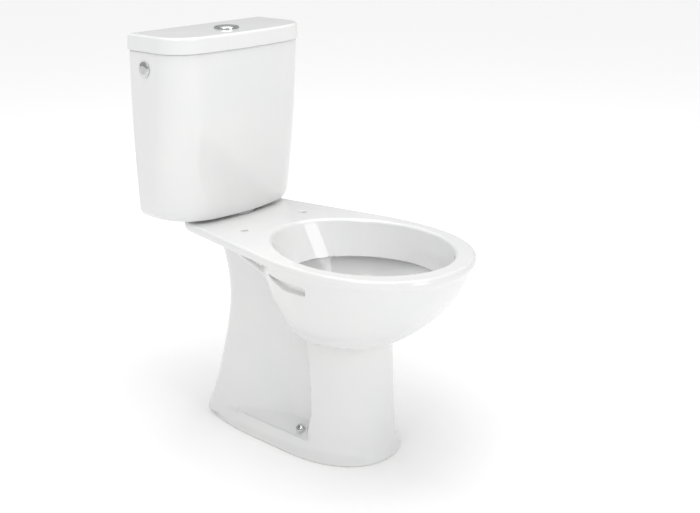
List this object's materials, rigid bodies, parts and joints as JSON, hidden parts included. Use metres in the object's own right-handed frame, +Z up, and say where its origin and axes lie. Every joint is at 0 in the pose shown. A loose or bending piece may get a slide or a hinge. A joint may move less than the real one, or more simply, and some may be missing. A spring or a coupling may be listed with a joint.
{
  "type": "close coupled toilet",
  "caption": "Floor-standing close coupled toilet: open-rim ceramic pan, cistern bolted on its rear deck, lift-off lid with split dual-flush push button, no seat.",
  "frame": {"origin": "on the floor, on the plane of symmetry, half way between the wall and the tip of the rim", "axes": "+Z up, +Y to the wall behind the tank, -Y to the front of the bowl, +X to the inlet side (the sitter's left)"},
  "size_m": [0.3445, 0.627, 0.759],
  "materials": {
    "ceramic": "glossy white vitreous china glaze",
    "chrome": "bright polished chrome plate",
    "white_plastic": "moulded white plastic, soft sheen",
    "blue_plastic": "moulded blue plastic, matt",
    "grey_plastic": "moulded grey plastic, matt",
    "black_rubber": "matt black rubber",
    "grey_rubber": "matt pale grey rubber",
    "steel": "drawn stainless steel",
    "brass": "machined brass, slightly dull"
  },
  "bodies": {
    "base": {"pan": "ceramic", "cistern_tank": "ceramic", "flush_valve_gasket": "black_rubber", "flush_valve_base": "white_plastic", "flush_valve_back_nut": "white_plastic", "tank_to_pan_gasket": "grey_rubber", "flush_valve_cage": "white_plastic", "flush_valve_cap": "blue_plastic", "coupling_bolt_left": "brass", "bolt_rubber_washer_left": "black_rubber", "tank_pad_left": "grey_rubber", "deck_washer_left": "steel", "wing_nut_left": "brass", "coupling_bolt_right": "brass", "bolt_rubber_washer_right": "black_rubber", "tank_pad_right": "grey_rubber", "deck_washer_right": "steel", "wing_nut_right": "brass", "side_hole_plug": "chrome", "side_plug_washer": "black_rubber", "side_plug_nut": "white_plastic", "inlet_washer": "black_rubber", "inlet_nut": "white_plastic", "fill_valve_body": "white_plastic", "fill_valve_cap": "blue_plastic", "fill_silencer_tube": "white_plastic", "float_pin": "steel", "floor_screw_collar_left": "white_plastic", "floor_screw_left": "chrome", "floor_screw_collar_right": "white_plastic", "floor_screw_right": "chrome"},
    "lid": {"cistern_lid": "ceramic", "button_bezel": "chrome", "button_sleeve": "white_plastic", "button_lock_nut": "white_plastic", "full_button_spring": "steel", "half_button_spring": "steel"},
    "full_button": {"full_flush_button": "chrome", "full_push_rod": "white_plastic"},
    "half_button": {"half_flush_button": "chrome", "half_push_rod": "white_plastic"},
    "valve": {"overflow_tube": "white_plastic", "valve_seal_disc": "grey_plastic", "valve_seal_ring": "black_rubber"},
    "float_arm": {"float_lever": "grey_plastic", "float_cup": "blue_plastic"}
  },
  "joints": [
    {"name": "lid_lift", "type": "slide", "parent": "base", "child": "lid", "axis": [0, 0, 1], "range_m": [0, 0.15]},
    {"name": "full_button_press", "type": "slide", "parent": "lid", "child": "full_button", "axis": [0, 0, -1], "range_m": [0, 0.006], "stiffness_N_per_m": 500, "springref_m": -0.006, "deforming": ["full_button_spring"]},
    {"name": "half_button_press", "type": "slide", "parent": "lid", "child": "half_button", "axis": [0, 0, -1], "range_m": [0, 0.006], "stiffness_N_per_m": 500, "springref_m": -0.006, "deforming": ["half_button_spring"]},
    {"name": "valve_lift", "type": "slide", "parent": "base", "child": "valve", "axis": [0, 0, 1], "range_m": [0, 0.0201]},
    {"name": "float_swing", "type": "hinge", "parent": "base", "child": "float_arm", "pos_m": [0.1, 0.267, 0.7], "axis": [0, 1, 0], "range_deg": [0, 18]}
  ],
  "couplings": [
    {"joint": "valve_lift", "follows": "full_button_press", "ratio": 3.3333}
  ]
}
